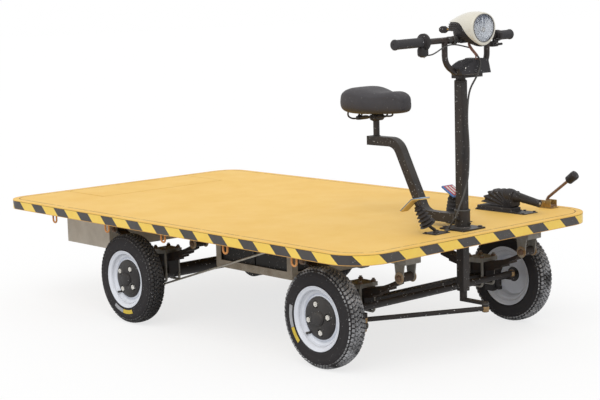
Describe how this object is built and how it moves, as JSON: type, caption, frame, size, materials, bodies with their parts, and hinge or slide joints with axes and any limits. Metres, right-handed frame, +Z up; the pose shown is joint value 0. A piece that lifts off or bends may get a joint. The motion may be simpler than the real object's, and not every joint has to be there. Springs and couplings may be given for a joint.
{
  "type": "electric platform truck",
  "caption": "Electric platform truck with a flat hazard-edged deck, a handlebar steering column, a saddle on a bent arm and small sprung wheels.",
  "frame": {"origin": "on the ground under the middle of the deck", "axes": "+X forward to the handlebar, +Y to the left, +Z up"},
  "size_m": [2.3, 1.32, 1.267],
  "materials": {
    "painted_steel": "matte paint",
    "black_steel": "satin black paint",
    "zinc_steel": "dull zinc",
    "spring_steel": "dusty black",
    "rim_paint": "silver paint",
    "tyre_rubber": "worn rubber",
    "rubber": "moulded rubber",
    "vinyl": "black vinyl",
    "plastic": "black plastic",
    "lamp_plastic": "cream gloss plastic",
    "lens": "clear"
  },
  "bodies": {
    "chassis": {"deck_rim": "painted_steel", "deck_beams": "black_steel", "cargo_sheet": "painted_steel", "front_sheet": "painted_steel", "rope_hooks": "black_steel", "storage_box": "zinc_steel", "battery_tray": "zinc_steel", "batteries": "plastic", "leaf_springs": "spring_steel", "spring_fittings": "zinc_steel", "front_axle": "black_steel", "rear_axle": "black_steel", "motor": "black_steel", "brake_rods": "zinc_steel", "column_sleeve": "black_steel", "seat_arm": "black_steel", "seat_post": "black_steel", "saddle": "vinyl", "pedals": "zinc_steel", "gaiters": "rubber", "handbrake": "black_steel", "gear_lever": "zinc_steel", "deck_harness": "rubber"},
    "column": {"steering_tube": "black_steel", "handlebar": "black_steel", "hand_controls": "rubber", "dash_housing": "plastic", "headlamp_shell": "lamp_plastic", "headlamp_lens": "lens", "headlamp_body": "plastic", "column_harness": "rubber", "throttle_cable": "rubber"},
    "knuckle_left": {"knuckle_left": "black_steel"},
    "knuckle_right": {"knuckle_right": "black_steel"},
    "tie_rod": {"tie_rod": "black_steel"},
    "drag_link": {"drag_link": "black_steel"},
    "hatch": {"hatch": "painted_steel"},
    "wheel_front_left": {"tyre_front_left": "tyre_rubber", "wheel_front_left": "rim_paint"},
    "wheel_front_right": {"tyre_front_right": "tyre_rubber", "wheel_front_right": "rim_paint"},
    "wheel_rear_left": {"tyre_rear_left": "tyre_rubber", "wheel_rear_left": "rim_paint"},
    "wheel_rear_right": {"tyre_rear_right": "tyre_rubber", "wheel_rear_right": "rim_paint"}
  },
  "joints": [
    {"name": "steer", "type": "hinge", "parent": "chassis", "child": "column", "pos_m": [1.027, 0, 0.466], "axis": [0, 0, 1], "range_deg": [-30, 30]},
    {"name": "kingpin_left", "type": "hinge", "parent": "chassis", "child": "knuckle_left", "pos_m": [0.822, 0.425, 0.188], "axis": [0, 0, 1], "range_deg": [-30, 30]},
    {"name": "kingpin_right", "type": "hinge", "parent": "chassis", "child": "knuckle_right", "pos_m": [0.822, -0.425, 0.188], "axis": [0, 0, 1], "range_deg": [-30, 30]},
    {"name": "tie_rod_end", "type": "hinge", "parent": "knuckle_right", "child": "tie_rod", "pos_m": [0.902, -0.425, 0.217], "axis": [0, 0, 1], "range_deg": [-30, 30]},
    {"name": "drag_link_end", "type": "hinge", "parent": "column", "child": "drag_link", "pos_m": [1.135, 0, 0.179], "axis": [0, 0, 1], "range_deg": [-30, 30]},
    {"name": "hatch_hinge", "type": "hinge", "parent": "chassis", "child": "hatch", "pos_m": [-0.8275, 0, 0.466], "axis": [0, 1, 0], "range_deg": [0, 105]},
    {"name": "spin_front_left", "type": "hinge", "parent": "knuckle_left", "child": "wheel_front_left", "pos_m": [0.822, 0.52, 0.188], "axis": [0, 1, 0], "continuous": true},
    {"name": "spin_front_right", "type": "hinge", "parent": "knuckle_right", "child": "wheel_front_right", "pos_m": [0.822, -0.52, 0.188], "axis": [0, 1, 0], "continuous": true},
    {"name": "spin_rear_left", "type": "hinge", "parent": "chassis", "child": "wheel_rear_left", "pos_m": [-0.332, 0.549, 0.188], "axis": [0, 1, 0], "continuous": true},
    {"name": "spin_rear_right", "type": "hinge", "parent": "chassis", "child": "wheel_rear_right", "pos_m": [-0.332, -0.549, 0.188], "axis": [0, 1, 0], "continuous": true}
  ],
  "couplings": [
    {"joint": "kingpin_left", "follows": "steer", "ratio": 1},
    {"joint": "kingpin_right", "follows": "steer", "ratio": 1},
    {"joint": "tie_rod_end", "follows": "steer", "ratio": -1},
    {"joint": "drag_link_end", "follows": "steer", "ratio": -1}
  ]
}
